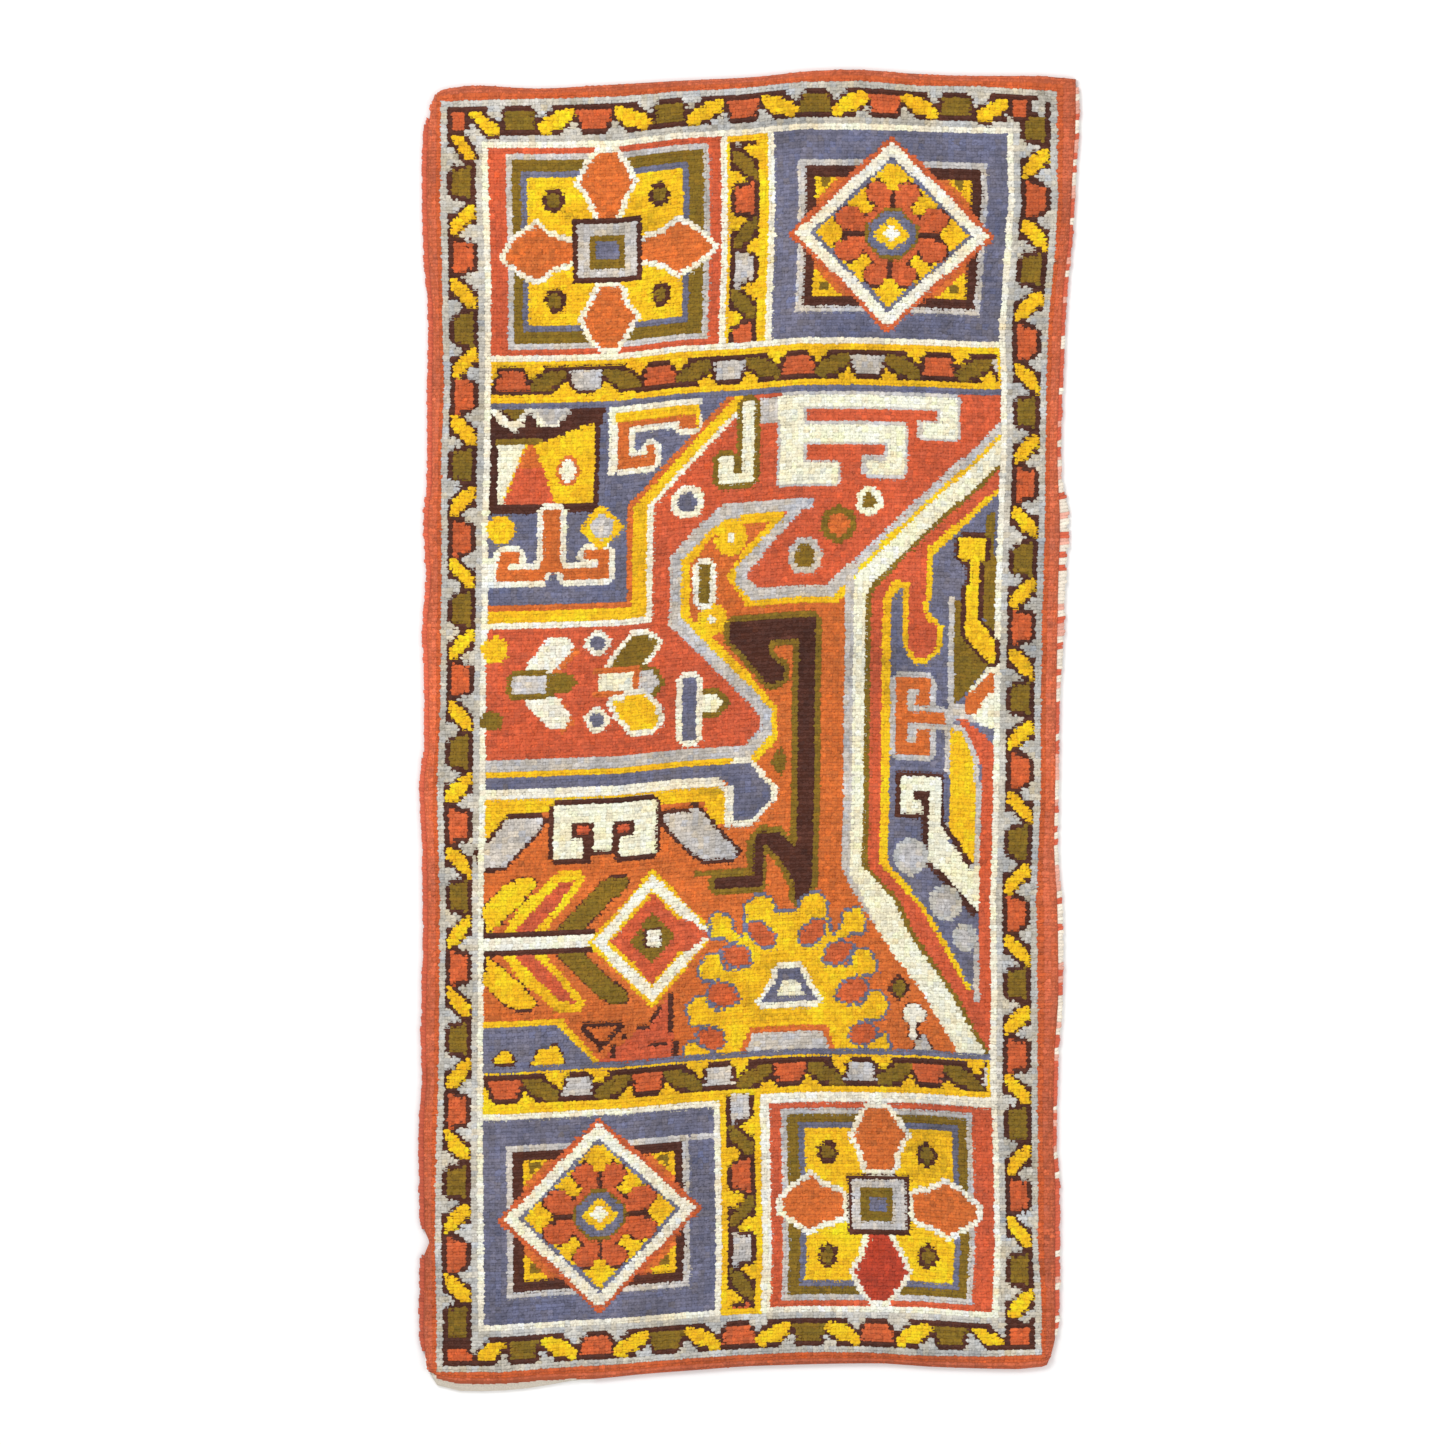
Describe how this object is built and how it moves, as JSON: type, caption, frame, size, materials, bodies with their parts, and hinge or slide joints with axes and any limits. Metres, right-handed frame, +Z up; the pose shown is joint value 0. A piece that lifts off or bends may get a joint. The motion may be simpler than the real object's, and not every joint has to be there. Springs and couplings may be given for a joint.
{
  "type": "oushak rug",
  "caption": "Small hand-knotted wool sampler rug, lying flat, with overcast sides and a worn lower corner.",
  "frame": {"origin": "middle of the rug's box, on the surface that it lies on", "axes": "+Z up out of the pile, +Y along the length towards the end with the red square and the blue square at the top of the design, +X to the right as seen from above"},
  "size_m": [0.6288, 1.255, 0.0082],
  "materials": {
    "pile_wool": "matt knotted wool pile in orange-red, yellow, slate blue, olive, ivory, grey and brown",
    "overcast_wool": "matt wool yarn wrapped over the side cords, worn to the ivory warps in places",
    "foundation_wool": "matt ivory warps and wefts"
  },
  "bodies": {
    "root": {"rug_body": "pile_wool", "left_binding_upper": "overcast_wool", "left_binding_lower": "overcast_wool", "right_binding": "overcast_wool"}
  },
  "joints": []
}
